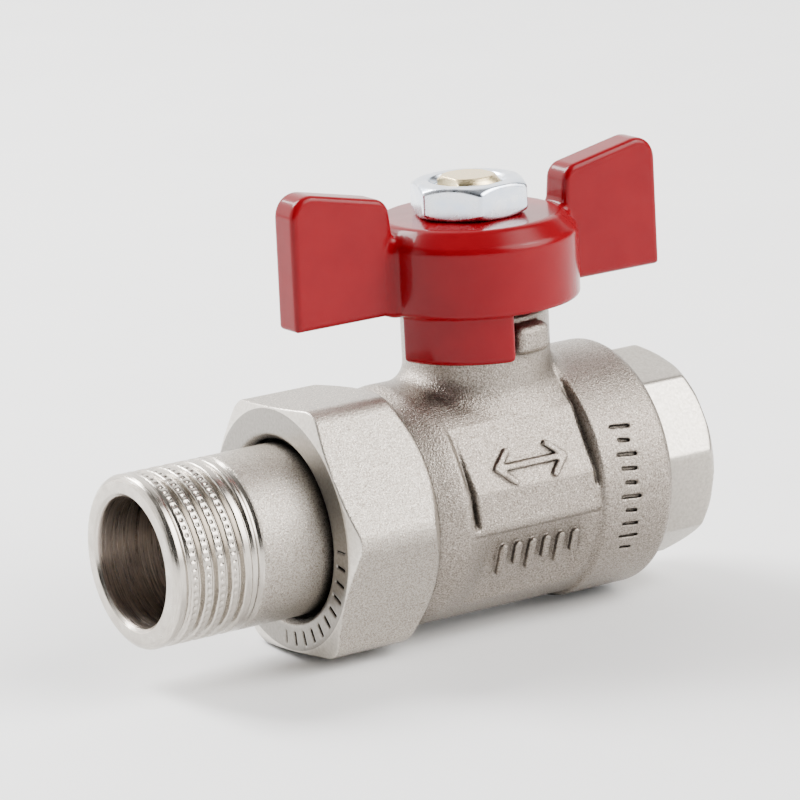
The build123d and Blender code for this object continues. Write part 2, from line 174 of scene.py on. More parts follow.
def union(a, b, radius=0.0):
    """Joined solids, with a round fillet of that radius in the corner between them."""
    if radius <= 0:
        return np.minimum(a, b)
    gap_a = np.maximum(radius - a, 0)
    gap_b = np.maximum(radius - b, 0)
    return np.maximum(radius, np.minimum(a, b)) - np.hypot(gap_a, gap_b)


def both(a, b, radius=0.0):
    """What two solids share, with its outer edge rounded to that radius."""
    if radius <= 0:
        return np.maximum(a, b)
    over_a = np.maximum(radius + a, 0)
    over_b = np.maximum(radius + b, 0)
    return np.minimum(-radius, np.maximum(a, b)) + np.hypot(over_a, over_b)


def cut(a, b, radius=0.0):
    """Solid a without b."""
    return both(a, -b, radius)


def slab(v, low, high):
    """Everything between two planes."""
    return np.abs(v - (low + high) / 2) - (high - low) / 2


def slant(run, rise, slope):
    """Everything under a slanting face through the place where run and rise are both 0."""
    return (run * slope + rise) / math.hypot(1, slope)


def ramp(v, low, high):
    """0 below low, 1 above high, smooth between."""
    t = np.clip((v - low) / (high - low), 0, 1)
    return t * t * (3 - 2 * t)


def window(v, low, full, still_full, high):
    """1 between the middle two values, smoothly down to 0 at the outer two."""
    return ramp(v, low, full) * (1 - ramp(v, still_full, high))


def hump(v, middle, width):
    """1 at the middle, falling away to both sides like a bell."""
    return np.exp(-(((v - middle) / width) ** 2))


def mix(a, b, t):
    """a where t is 0, b where t is 1."""
    return a + (b - a) * t


def helix(along, u, v, pitch):
    """Wave between 0 and 1 that runs around an axis as a thread of that pitch."""
    return 0.5 + 0.5 * np.cos(2 * math.pi * along / pitch - np.arctan2(v, u))


def polygon(u, v, flat, sides, turn, edge=0.0):
    """Regular prism across u and v with its flats at that distance; turn is the angle of one corner."""
    shape = None
    for i in range(sides):
        a = math.radians(turn + (i + 0.5) * 360 / sides)
        side = u * math.cos(a) + v * math.sin(a) - flat
        shape = side if shape is None else both(shape, side, edge)
    return shape


def double_d(x, y, half_flat, radius):
    """Round bar along Z with two flats."""
    return np.maximum(np.hypot(x, y) - radius, np.abs(x) - half_flat)


def stepped(along, radius, steps):
    """Bores one after another along an axis, from (start, end, radius) steps."""
    space = None
    for start, end, bore in steps:
        drilled = np.maximum(radius - bore, slab(along, start, end))
        space = drilled if space is None else np.minimum(space, drilled)
    return space


def turned(along, radius, profile):
    """Solid of revolution from a closed profile of (along, radius) points."""
    points = [(float(a), float(r)) for a, r in profile]
    along, radius = np.broadcast_arrays(along, radius)
    nearest = np.full(along.shape, 1e9, np.float32)
    inside = np.zeros(along.shape, bool)
    for (a0, r0), (a1, r1) in zip(points, points[1:] + points[:1]):
        da, dr = a1 - a0, r1 - r0
        t = np.clip(((along - a0) * da + (radius - r0) * dr) / (da * da + dr * dr), 0, 1)
        nearest = np.minimum(nearest, np.hypot(along - a0 - t * da, radius - r0 - t * dr))
        crosses = (r0 > radius) != (r1 > radius)
        if dr != 0:
            inside ^= crosses & (along < a0 + (radius - r0) * da / dr)
    return np.where(inside, -nearest, nearest)


def stroke(u, v, lines, half_width):
    """Distance from the nearest of some pen strokes, each a list of (u, v) points."""
    nearest = None
    for line in lines:
        for (u0, v0), (u1, v1) in zip(line, line[1:]):
            du, dv = u1 - u0, v1 - v0
            t = np.clip(((u - u0) * du + (v - v0) * dv) / (du * du + dv * dv), 0, 1)
            d = np.hypot(u - u0 - t * du, v - v0 - t * dv)
            nearest = d if nearest is None else np.minimum(nearest, d)
    return nearest - half_width


# ------------------------------------------------------------------------------------- meshes
def mesh_of(name, field, place, finish):
    """Mesh of a distance field's surface, smooth shaded, in metres."""
    low, step = place
    reach = 3 * step
    volume = openvdb.FloatGrid(reach)
    volume.copyFromArray(np.clip(field, -reach, reach).astype(np.float32))
    points, quads = volume.convertToQuads(0)
    return build(name, (points * step + np.array(low)) * MM, quads, finish)


def build(name, points, quads, finish):
    """Object from points and quads, with its faces turned outwards."""
    p = points[quads]
    volume = np.einsum("ij,ij->i", p[:, 0], np.cross(p[:, 1], p[:, 2]))
    volume += np.einsum("ij,ij->i", p[:, 0], np.cross(p[:, 2], p[:, 3]))
    if volume.sum() < 0:
        quads = quads[:, ::-1]
    mesh = bpy.data.meshes.new(name)
    mesh.vertices.add(len(points))
    mesh.vertices.foreach_set("co", points.astype(np.float32).ravel())
    mesh.loops.add(quads.size)
    mesh.loops.foreach_set("vertex_index", quads.astype(np.int32).ravel())
    mesh.polygons.add(len(quads))
    mesh.polygons.foreach_set("loop_start", np.arange(0, quads.size, 4, dtype=np.int32))
    mesh.polygons.foreach_set("loop_total", np.full(len(quads), 4, np.int32))
    mesh.update(calc_edges=True)
    mesh.validate()
    mesh.shade_smooth()
    mesh.materials.append(finish)
    obj = bpy.data.objects.new(name, mesh)
    bpy.context.scene.collection.objects.link(obj)
    return obj


def finish_faces(obj, finish, chosen):
    """Gives another material to the faces whose centres, in millimetres, pass a test of (x, radius)."""
    mesh = obj.data
    mesh.materials.append(finish)
    centres = np.empty(len(mesh.polygons) * 3, np.float32)
    mesh.polygons.foreach_get("center", centres)
    x, y, z = centres.reshape(-1, 3).T / MM
    slots = np.empty(len(mesh.polygons), np.int32)
    mesh.polygons.foreach_get("material_index", slots)
    slots[chosen(x, np.hypot(y, z))] = len(mesh.materials) - 1
    mesh.polygons.foreach_set("material_index", slots)


def lathe(name, outline, segments, finish, relief):
    """Piece turned about the pipe from an (x, radius) outline; relief(x, radius, angle) cuts into it."""
    x = np.array([p[0] for p in outline])[:, None]
    radius = np.array([p[1] for p in outline])[:, None]
    angle = np.linspace(0, 2 * math.pi, segments, endpoint=False)[None, :]
    r = radius - relief(x, radius, angle)
    points = np.stack([x + 0 * angle, r * np.cos(angle), r * np.sin(angle)], axis=-1).reshape(-1, 3) * MM
    rows = np.arange(len(outline))[:, None]
    columns = np.arange(segments)[None, :]
    next_row = (rows + 1) % len(outline)
    next_column = (columns + 1) % segments
    quads = np.stack(
        [
            rows * segments + columns,
            rows * segments + next_column,
            next_row * segments + next_column,
            next_row * segments + columns,
        ],
        axis=-1,
    ).reshape(-1, 4)
    return build(name, points, quads, finish)


def stretch(start, end, step):
    """Evenly spaced points from one outline corner to the next, without the last."""
    count = max(1, int(round(math.dist(start, end) / step)))
    return [tuple(s + (e - s) * i / count for s, e in zip(start, end)) for i in range(count)]


def outline_of(corners, coarse, fine, fine_span):
    """Closed outline through corners, in fine steps where x lies in fine_span."""
    points = []
    for start, end in zip(corners, corners[1:] + corners[:1]):
        in_span = fine_span[0] <= min(start[0], end[0]) and max(start[0], end[0]) <= fine_span[1]
        points += stretch(start, end, fine if in_span else coarse)
    return points


# ------------------------------------------------------------------------------------- materials
class Finish:
    """A Principled material being made up from textures in the object's own coordinates."""

    def __init__(self, name, colour, metallic, roughness):
        self.material = bpy.data.materials.new(name)
        self.material.use_nodes = True
        self.nodes = self.material.node_tree.nodes
        self.links = self.material.node_tree.links
        self.shader = self.nodes["Principled BSDF"]
        self.hold("Base Color", (*colour, 1))
        self.hold("Metallic", metallic)
        self.hold("Roughness", roughness)

    def hold(self, socket, value):
        """Gives a socket of the shader one value."""
        self.shader.inputs[socket].default_value = value

    def feed(self, socket, texture):
        """Feeds a socket of the shader from a texture."""
        self.links.new(texture, self.shader.inputs[socket])

    def noise(self, scale, detail=2.0, roughness=0.5, stretch_by=(1, 1, 1)):
        """Noise with that many cells to the metre."""
        place = self.nodes.new("ShaderNodeTexCoord")
        mapping = self.nodes.new("ShaderNodeMapping")
        mapping.inputs["Scale"].default_value = stretch_by
        texture = self.nodes.new("ShaderNodeTexNoise")
        texture.inputs["Scale"].default_value = scale
        texture.inputs["Detail"].default_value = detail
        texture.inputs["Roughness"].default_value = roughness
        self.links.new(place.outputs["Object"], mapping.inputs["Vector"])
        self.links.new(mapping.outputs["Vector"], texture.inputs["Vector"])
        return texture.outputs["Fac"]

    def spread(self, value, to_low, to_high, low=0.3, high=0.7):
        """Maps a value's range, for which noise's usual one is taken, to another."""
        node = self.nodes.new("ShaderNodeMapRange")
        node.inputs["From Min"].default_value = low
        node.inputs["From Max"].default_value = high
        node.inputs["To Min"].default_value = to_low
        node.inputs["To Max"].default_value = to_high
        self.links.new(value, node.inputs["Value"])
        return node.outputs["Result"]

    def tint(self, value, dark, light, low=0.3, high=0.7):
        """Colour that runs from dark to light with a value."""
        node = self.nodes.new("ShaderNodeValToRGB")
        first, last = node.color_ramp.elements
        first.position, last.position = low, high
        first.color, last.color = (*dark, 1), (*light, 1)
        self.links.new(value, node.inputs["Fac"])
        return node.outputs["Color"]

    def multiply(self, colour, factor):
        """Scales a colour by a factor."""
        scaled = self.nodes.new("ShaderNodeVectorMath")
        scaled.operation = "SCALE"
        self.links.new(colour, scaled.inputs[0])
        self.links.new(factor, scaled.inputs["Scale"])
        return scaled.outputs[0]

    def bump(self, height, strength, tallest):
        """Bumps up to that many millimetres."""
        node = self.nodes.new("ShaderNodeBump")
        node.inputs["Strength"].default_value = strength
        node.inputs["Distance"].default_value = tallest * MM
        self.links.new(height, node.inputs["Height"])
        self.feed("Normal", node.outputs["Normal"])

    def paint_crease_shade(self, colour, level):
        """Darkens a colour by ambient occlusion in tight creases: painted crease shade, together with the
        duller plating there.
        """
        hollow = self.nodes.new("ShaderNodeAmbientOcclusion")
        hollow.samples = 8
        hollow.inputs["Distance"].default_value = 1.5 * MM
        factor = self.spread(hollow.outputs["AO"], level, 1.0, low=0.35, high=0.9)
        return self.multiply(colour, factor)

    def paint_edge_shade(self, colour, level):
        """Darkens a colour along sharp outer edges: painted shade, standing in for the dark reflections along
        them.
        """
        shape = self.nodes.new("ShaderNodeNewGeometry")
        factor = self.spread(shape.outputs["Pointiness"], 1.0, level, low=0.53, high=0.60)
        return self.multiply(colour, factor)

    def paint_shade_inside(self, colour, radius, level):
        """Darkens a colour nearer to the pipe's axis than that many millimetres: painted shade."""
        place = self.nodes.new("ShaderNodeTexCoord")
        across = self.nodes.new("ShaderNodeVectorMath")
        across.operation = "MULTIPLY"
        across.inputs[1].default_value = (0, 1, 1)
        self.links.new(place.outputs["Object"], across.inputs[0])
        length = self.nodes.new("ShaderNodeVectorMath")
        length.operation = "LENGTH"
        self.links.new(across.outputs[0], length.inputs[0])
        edge = 0.03
        low, high = (radius - edge) * MM, (radius + edge) * MM
        factor = self.spread(length.outputs["Value"], level, 1.0, low=low, high=high)
        return self.multiply(colour, factor)


def blasted_nickel(name, dark, pale):
    """Nickel plate over a sand-blasted forging: fine sparkling grain between two tones."""
    finish = Finish(name, dark, metallic=1.0, roughness=0.38)
    speck = finish.noise(5200, roughness=0.65)
    colour = finish.tint(speck, dark, pale, low=0.32, high=0.68)
    # creases darkened with painted shade
    finish.feed("Base Color", finish.paint_crease_shade(colour, 0.12))
    finish.feed("Roughness", finish.spread(speck, 0.38, 0.26))
    finish.bump(finish.noise(4400, detail=3.0, roughness=0.65), strength=1.0, tallest=0.11)
    return finish.material


def satin_nickel(name, dark, pale, shade_radius=0.0, shade_level=1.0):
    """Nickel plate over milled faces, between two tones; painted shade darkens it inside a radius around the
    pipe.
    """
    finish = Finish(name, dark, metallic=1.0, roughness=0.34)
    fine = finish.noise(2600, detail=3.0, roughness=0.6)
    colour = finish.paint_shade_inside(finish.tint(fine, dark, pale), shade_radius, shade_level)
    # creases darkened with painted shade
    finish.feed("Base Color", finish.paint_crease_shade(colour, 0.2))
    finish.feed("Roughness", finish.spread(fine, 0.38, 0.30))
    finish.bump(fine, strength=0.6, tallest=0.04)
    return finish.material


def bright_nickel():
    """Nickel plate straight off the lathe."""
    dark, pale = (0.44, 0.40, 0.355), (0.60, 0.56, 0.50)
    finish = Finish("bright_nickel", pale, metallic=1.0, roughness=0.2)
    lines = finish.noise(700, detail=3.0, roughness=0.6, stretch_by=(14, 1, 1))
    # creases darkened a little with painted shade
    finish.feed("Base Color", finish.paint_crease_shade(finish.tint(lines, dark, pale), 0.8))
    finish.feed("Roughness", finish.spread(lines, 0.15, 0.3))
    finish.bump(lines, strength=0.3, tallest=0.03)
    return finish.material


def bored_brass():
    """Thin, dull plating inside the bores, over the rings that the drill left."""
    dark, pale = (0.24, 0.195, 0.165), (0.56, 0.49, 0.43)
    finish = Finish("bored_brass", dark, metallic=1.0, roughness=0.3)
    rings = finish.noise(80, detail=5.0, roughness=0.8, stretch_by=(70, 1, 1))
    finish.feed("Base Color", finish.tint(rings, dark, pale, low=0.35, high=0.65))
    finish.feed("Roughness", finish.spread(rings, 0.2, 0.4))
    finish.bump(rings, strength=0.9, tallest=0.06)
    return finish.material


def red_paint():
    """Thick glossy red epoxy."""
    dark, pale = (0.175, 0.001, 0.005), (0.195, 0.002, 0.006)
    finish = Finish("red_paint", pale, metallic=0.0, roughness=0.22)
    finish.hold("Specular IOR Level", 0.1)
    finish.hold("Coat Weight", 0.15)
    finish.hold("Coat Roughness", 0.04)
    flow = finish.noise(260)
    finish.feed("Base Color", finish.tint(flow, dark, pale))
    finish.bump(flow, strength=0.35, tallest=0.1)
    return finish.material


def zinc_plate():
    """Bright zinc plate with its bluish cast."""
    dark, pale = (0.62, 0.70, 0.83), (0.90, 0.93, 0.97)
    finish = Finish("zinc_plate", pale, metallic=1.0, roughness=0.2)
    cloud = finish.noise(500, detail=3.0, roughness=0.6)
    # painted dark edge lines for the reflections along the nut's edges
    finish.feed("Base Color", finish.paint_edge_shade(finish.tint(cloud, dark, pale), 0.45))
    finish.feed("Roughness", finish.spread(cloud, 0.20, 0.32))
    finish.bump(finish.noise(2500), strength=0.2, tallest=0.02)
    return finish.material


def raw_brass():
    """Turned yellow brass."""
    dark, pale = (0.80, 0.62, 0.33), (0.95, 0.80, 0.50)
    finish = Finish("raw_brass", dark, metallic=1.0, roughness=0.3)
    grain = finish.noise(2400, detail=3.0, roughness=0.6, stretch_by=(1, 1, 4))
    finish.feed("Base Color", finish.tint(grain, dark, pale))
    finish.feed("Roughness", finish.spread(grain, 0.22, 0.4))
    finish.bump(grain, strength=0.3, tallest=0.03)
    return finish.material


def plain(name, colour, metallic, roughness, scale, change=0.12, tallest=0.02):
    """Even finish with a little mottling, for the pieces inside the valve."""
    finish = Finish(name, colour, metallic, roughness)
    cloud = finish.noise(scale, detail=3.0, roughness=0.6)
    dark = tuple(c * (1 - change) for c in colour)
    light = tuple(min(1.0, c * (1 + change)) for c in colour)
    finish.feed("Base Color", finish.tint(cloud, dark, light))
    finish.feed("Roughness", finish.spread(cloud, roughness * 0.85, roughness * 1.15))
    finish.bump(finish.noise(scale * 4), strength=0.3, tallest=tallest)
    return finish.material


# ------------------------------------------------------------------------------------- valve body
def side_of(y, z):
    """Angle around the pipe in degrees, alike on both sides: 90 on top, 180 at mid height, 270 underneath."""
    return np.degrees(np.arctan2(z, -np.abs(y))) % 360


def facet(side, facing, flat):
    """Radius of a flat at that distance from the axis that faces that way."""
    return flat / np.cos(np.radians(np.clip(side - facing, -60, 60)))


def panel_radius(side):
    """Barrel radius over the two marked panels on each side, which are nearly flat."""
    radius = BARREL_R + 0.2 * window(side, 150, 165, 184, 188)
    for facing, flat in UPPER_FACETS:
        radius = np.minimum(radius, facet(side, facing, flat))
    lower = np.minimum(radius, facet(side, *LOWER_FACET))
    return mix(radius, lower, ramp(side, PANEL_STEP - 1.2, PANEL_STEP + 0.5))


def panel_creases(x, side):
    """Narrow grooves that the die left at both ends of the upper panel, deepest at their lower ends."""
    lean = 0.01 * (180 - side)
    left = hump(x + lean, CREASE_X0, 0.33) * window(side, 126, 150, 180, 184)
    right = hump(x, CREASE_X1, 0.28) * window(side, 118, 130, 171, 175)
    left_depth = 0.25 + 0.65 * ramp(side, 140, 175)
    return left_depth * left + 0.5 * right


def barrel_radius(x, side):
    """Radius of the forging along the pipe."""
    lower = ramp(side, PANEL_STEP - 1.5, PANEL_STEP + 1.5)
    left = mix(ramp(x, -12.4, CREASE_X0), ramp(x, -12.0, -8.0), lower)
    right = mix(1 - ramp(x, 6.9, COLLAR_X0), 1 - ramp(x, 4.2, 6.4), lower)
    panel = left * right * window(side, PANEL_TOP - 6, PANEL_TOP + 6, PANEL_BOTTOM - 7, PANEL_BOTTOM + 7)
    shoulder = 0.8 * (1 - ramp(x, BODY_X0 - 0.3, -13.0))
    swell = 0.3 * hump(x, -12.1, 1.0) * window(side, 110, 140, 185, 215)
    return mix(BARREL_R - shoulder + swell, panel_radius(side), panel) - panel_creases(x, side)


def arrow_mark():
    """Arrow with a head at each end, as pen strokes."""
    top, bottom = MARK_MIDDLE + MARK_HALF, MARK_MIDDLE - MARK_HALF
    lines = [[(ARROW_X0, MARK_MIDDLE), (ARROW_X1, MARK_MIDDLE)]]
    for tip, head in ((ARROW_X0, ARROW_HEAD), (ARROW_X1, -ARROW_HEAD)):
        lines.append([(tip + head, top), (tip, MARK_MIDDLE), (tip + head, bottom)])
    return lines


def bar_mark():
    """Row of bars, tall and short in turn, as pen strokes."""
    lines = []
    for i in range(BARS):
        foot = BAR_X0 + BAR_SPACING * i
        top = MARK_MIDDLE + MARK_HALF - SHORT_BAR * (i % 2)
        lines.append([(foot, MARK_MIDDLE - MARK_HALF), (foot + BAR_LEAN, top)])
    return lines


def raised_marks(x, side, barrel):
    """Plain raised marks on both sides: a two-way arrow on the upper panel and a row of bars under it."""
    arrow_height = np.radians(side - ARROW_FACING) * MARK_R
    bars_height = np.radians(side - BARS_FACING) * MARK_R
    arrow = stroke(x, arrow_height, arrow_mark(), ARROW_HALF_WIDTH)
    bars = stroke(x, bars_height, bar_mark(), BAR_HALF_WIDTH)
    return np.minimum(both(barrel - ARROW_RISE, arrow, 0.18), both(barrel - BAR_RISE, bars, 0.18))


def tally_marks(x, side, r):
    """Stamped row of plain ticks around the collar."""
    marks = []
    for i, length in enumerate(TALLY_LENGTHS):
        around = math.radians(TALLY_FACING + TALLY_STEP * i) * COLLAR_R
        half = TALLY_HALF_LENGTH * length
        marks.append([(TALLY_X - half, around), (TALLY_X + half, around + TALLY_LEAN)])
    tick = stroke(x, np.radians(side) * COLLAR_R, marks, TALLY_HALF_WIDTH)
    return np.maximum(tick, COLLAR_R - TALLY_DEPTH - r)


def lug(x, y, z):
    """Stop lug on the boss, on the +Y side."""
    r = np.hypot(x, y)
    turn = np.degrees(np.arctan2(y, x))
    across = np.radians(np.abs(turn - LUG_FACING) - LUG_HALF_TURN) * r
    block = both(both(across, r - LUG_R, 1.6), slab(z, LUG_Z0, LUG_Z1), 1.1)
    return np.maximum(block, BOSS_R - 2 - r)


def forging(x, y, z):
    """Solid forging: barrel, collar, octagonal end, boss, lugs and raised marks."""
    r = np.hypot(y, z)
    side = side_of(y, z)
    barrel = both(r - barrel_radius(x, side), slab(x, BODY_X0, 12.0), 0.4)
    collar = both(both(r - COLLAR_R, COLLAR_X0 - x, 0.5), x - COLLAR_X1, 1.5)
    shell = union(barrel, collar, 0.3)
    shell = union(shell, raised_marks(x, side, barrel), 0.08)
    octagon = polygon(y, z, OCTAGON_FLAT, 8, OCTAGON_TURN, 0.3)
    end = np.maximum(slab(x, 10.0, BODY_X1), slant(r - OCTAGON_END_R, x - BODY_X1, 1))
    shell = union(shell, both(octagon, end, 0.2), 0.3)
    boss = both(np.hypot(x, y) - BOSS_R, slab(z, 0, BOSS_TOP), 0.4)
    shell = union(shell, boss, 2.1)
    for lug_side in (1, -1):
        shell = union(shell, lug(x, y * lug_side, z), 0.35)
    return shell


def pipe_bores(x, y, z):
    """Everything bored along the pipe: steps for the insert, the ball's chamber, a seat and a thread."""
    r = np.hypot(y, z)
    thread_depth = THREAD_DEPTH * window(x, THREAD_X0 + 0.6, THREAD_X0 + 1.8, BODY_X1 - 1.2, BODY_X1 - 0.5)
    thread_r = HALF_INCH_CORE_R + thread_depth * helix(x, y, z, PITCH)
    thread = both(r - thread_r, slab(x, THREAD_X0, BODY_X1 + 3))
    steps = stepped(x, r, (
        (BODY_X0 - 3, -14.3, RIM_R + RUN),
        (-14.6, -9.0, PLUG_R + 0.03),
        (-9.3, CHAMBER_X1, CHAMBER_R),
        (CHAMBER_X1 - 0.3, SEAT_X1, SEAT_R),
        (SEAT_X1 - 0.3, THREAD_X0 + 0.6, BORE_R),
    ))
    slope = slant(x - CHAMBER_X1, r - CHAMBER_R, SEAT_SLOPE)
    seat_slope = np.maximum(slope, slab(x, CHAMBER_X1 - 0.2, CHAMBER_X1 + 1.1))
    mouth_slope = slant(r - (HALF_INCH_CORE_R + 0.2), BODY_X1 - 1.0 - x, 1)
    mouth = np.maximum(mouth_slope, slab(x, BODY_X1 - 2.0, BODY_X1 + 3))
    return np.minimum(np.minimum(thread, steps), np.minimum(seat_slope, mouth))


def boss_bores(x, y, z):
    """Everything bored down the boss, around the stem and its seals."""
    return stepped(z, np.hypot(x, y), (
        (5, 14.0, STEM_COLLAR_R + 0.1),
        (13.7, SEAL_Z0, STEM_R + RUN),
        (SEAL_Z0, GLAND_Z0, SEAL_R),
        (GLAND_Z0, BOSS_TOP + 3, GLAND_R),
    ))


def valve_body(finish, flats_finish, bore_finish, thread_finish):
    """Replaces the body."""
    x, y, z, place = grid((BODY_X0 - 0.7, -16.2, -16.2), (BODY_X1 + 0.7, 16.2, BOSS_TOP + 0.8), step=0.17)
    field = cut(forging(x, y, z), tally_marks(x, side_of(y, z), np.hypot(y, z)), 0.05)
    field = cut(field, np.minimum(pipe_bores(x, y, z), boss_bores(x, y, z)), 0.1)
    body = mesh_of("forged_body", field, place, finish)
    finish_faces(body, flats_finish, lambda x, radius: (x > COLLAR_X1 - 0.1) & (radius > THREAD_OUTSIDE_R))
    finish_faces(body, bore_finish, lambda x, radius: (x > 3.0) & (radius < THREAD_INSIDE_R))
    finish_faces(body, thread_finish, in_female_thread)
    return body


def in_female_thread(x, radius):
    """True on the faces of the female thread."""
    return (x > THREAD_X0 + 0.1) & (radius > THREAD_INSIDE_R) & (radius < THREAD_OUTSIDE_R)


# ------------------------------------------------------------------------------------- union
def face_ticks(x, y, z):
    """Stamped ticks on part of the nut's front face."""
    r = np.hypot(y, z)
    turn = np.degrees(np.arctan2(z, y)) % 360
    from_tick = (turn + TICK_STEP / 2) % TICK_STEP - TICK_STEP / 2
    across = np.abs(np.radians(from_tick)) * r - TICK_HALF_WIDTH
    tick = np.maximum(across, np.abs(r - TICK_R) - TICK_HALF_LENGTH)
    sector = (np.abs(turn - TICKS_FACING) - TICKS_HALF_TURN) * 0.1
    return np.maximum(np.maximum(tick, sector), x - (NUT_X0 + TICK_DEPTH))


def union_nut(finish, face_finish):
    """Replaces the union nut."""
    x, y, z, place = grid((NUT_X0 - 0.8, -18.2, -18.2), (NUT_X1 + 0.8, 18.2, 18.2), step=0.15)
    r = np.hypot(y, z)
    solid = polygon(y, z, NUT_FLAT, 6, NUT_TURN, 1.5)
    solid = both(solid, slant(r - NUT_FACE_R, NUT_X0 - x, NUT_FRONT_SLOPE), 0.15)
    solid = both(solid, slant(r - NUT_FACE_R, x - NUT_X1, NUT_BACK_SLOPE), 0.25)
    solid = both(solid, slab(x, NUT_X0, NUT_X1), 0.15)
    thread_r = UNION_R + RUN + NUT_THREAD_DEPTH * helix(x, y, z, PITCH)
    lip_r = NUT_LIP_R + np.maximum(0, 0.8 - (x - NUT_X0))
    hollow = np.minimum(
        np.maximum(r - lip_r, slab(x, NUT_X0 - 2, NUT_LIP_X1)),
        np.maximum(r - thread_r, slab(x, FLANGE_X0 - RUN, NUT_X1 + 2)),
    )
    solid = cut(cut(solid, hollow, 0.12), face_ticks(x, y, z), 0.05)
    nut = mesh_of("hexagon_union_nut", solid, place, finish)
    finish_faces(nut, face_finish, on_nut_face)
    return nut


def on_nut_face(x, radius):
    """True on the nut's front face and its bevel."""
    return x < NUT_X0 + 0.06 + np.maximum(0, radius - NUT_FACE_R) * NUT_FRONT_SLOPE


def tail_relief(x, radius, angle):
    """How deep the half-inch thread cuts in, with a row of small dents along its crest."""
    phase = (x - TAIL_X0) / PITCH - angle / (2 * math.pi)
    wave = 0.5 - 0.5 * np.cos(2 * math.pi * phase)
    fade = window(x, TAIL_X0 + 1.2, TAIL_X0 + 2.6, TAIL_THREAD_X1 - 1.0, TAIL_THREAD_X1 - 0.3)
    thread = TAIL_THREAD_DEPTH * np.clip(wave * 1.8 - 0.8, 0, 1) * fade
    dent_turn = angle * DENTS / (2 * math.pi)
    from_crest = (phase - np.round(phase)) * PITCH
    from_dent = (dent_turn - np.round(dent_turn)) * 2 * math.pi * radius / DENTS
    dented = window(x, TAIL_X0 + 1.0, TAIL_X0 + 2.5, TAIL_X0 + 8.0, TAIL_X0 + 8.6)
    dents = DENT_DEPTH * hump(from_crest, 0, 0.26) * hump(from_dent, 0, 0.24) * dented
    outside = (radius > HALF_INCH_CORE_R + 0.58) & (x < TAIL_THREAD_X1)
    return np.where(outside, thread + dents, 0)


def tail_corners():
    """Outline of the tailpiece as (x, radius) points: thread, neck, flange with a ring groove, and bore."""
    groove_x = FLANGE_X1 - FACE_GROOVE_DEPTH
    return [
        (TAIL_X0, 8.35),
        (TAIL_X0, 9.7),
        (TAIL_X0 + 0.12, 9.95),
        (TAIL_X0 + 0.4, 10.3),
        (TAIL_X0 + 0.75, HALF_INCH_R),
        (TAIL_THREAD_X1, HALF_INCH_R),
        (TAIL_THREAD_X1 + 0.12, NECK_GROOVE_R),
        (NECK_X0 - 0.2, NECK_GROOVE_R),
        (NECK_X0, NECK_R),
        (FLANGE_X0 - 0.3, NECK_R),
        (FLANGE_X0, NECK_R + 0.27),
        (FLANGE_X0, FLANGE_R - 0.1),
        (FLANGE_X0 + 0.1, FLANGE_R),
        (FLANGE_X1 - 0.1, FLANGE_R),
        (FLANGE_X1, FLANGE_R - 0.1),
        (FLANGE_X1, FACE_GROOVE_R1),
        (groove_x, FACE_GROOVE_R1),
        (groove_x, FACE_GROOVE_R0),
        (FLANGE_X1, FACE_GROOVE_R0),
        (FLANGE_X1, TAIL_BORE_R + 0.17),
        (FLANGE_X1 - 0.17, TAIL_BORE_R),
        (TAIL_X0 + 0.4, TAIL_BORE_R),
    ]


def tailpiece(finish, thread_finish, bore_finish):
    """Replaces the tailpiece: its thread and rim are machined bright, its neck is blasted."""
    outline = outline_of(tail_corners(), coarse=0.5, fine=0.1, fine_span=(TAIL_X0, TAIL_THREAD_X1))
    segments = 960
    tail = lathe("threaded_tailpiece", outline, segments, finish, tail_relief)
    finish_faces(tail, thread_finish, lambda x, radius: x < NECK_X0 - 0.05)
    finish_faces(tail, bore_finish, lambda x, radius: radius < TAIL_BORE_R + 0.07)
    return tail


def insert_corners():
    """Outline of the union insert as (x, radius) points: thread, rim, plug, nose, seat pocket and bore."""
    return [
        (INSERT_X0, BORE_R),
        (INSERT_X0, UNION_R - 0.8),
        (INSERT_X0 + 0.8, UNION_R),
        (BODY_X0, UNION_R),
        (BODY_X0, RIM_R),
        (RIM_X1, RIM_R),
        (RIM_X1, PLUG_R),
        (PLUG_X1, PLUG_R),
        (PLUG_X1, NOSE_R),
        (INSERT_X1, NOSE_R),
        (INSERT_X1, SEAT_POCKET_R),
        (SEAT_POCKET_X0, SEAT_POCKET_R),
        (SEAT_POCKET_X0, BORE_R),
    ]


def union_insert(finish):
    """Replaces the insert that closes the body and carries the union's thread."""
    x, y, z, place = grid((INSERT_X0 - 0.6, -14.2, -14.2), (INSERT_X1 + 0.6, 14.2, 14.2), step=0.15)
    r = np.hypot(y, z)
    thread_depth = THREAD_DEPTH * window(x, INSERT_X0 + 0.4, INSERT_X0 + 1.4, BODY_X0 - 1.7, BODY_X0 - 0.7)
    thread_r = UNION_R - thread_depth * (1 - helix(x, y, z, PITCH))
    thread = np.where(x < BODY_X0 - 0.5, r - thread_r, -1.0)
    socket = both(polygon(y, z, SOCKET_FLAT, 6, 0, 0.2), slab(x, INSERT_X0 - 2, SOCKET_X1), 0.1)
    solid = cut(np.maximum(turned(x, r, insert_corners()), thread), socket, 0.1)
    return mesh_of("union_insert", solid, place, finish)


# ------------------------------------------------------------------------------------- handle and stem
def wings(x, y, z):
    """Both wings: low plates beside the hub that step up just outside it."""
    out = np.abs(x)
    top = slant(WING_TOP_X - out, z - WING_TOP_Z, WING_RISE)
    end = out - (WING_X - 0.008 * (z - HUB_Z0))
    plate = both(both(top, end, 3.4), HUB_Z0 + 0.1 - z, 0.5)
    inner_edge = WING_ROOT_X - out - 0.1 * (WING_TOP_Z - z)
    low = both(plate, z - (HUB_Z1 - 1.4), 0.2)
    high = both(plate, inner_edge, 1.5)
    return both(np.minimum(low, high), np.abs(y) - WING_HALF, 0.75)


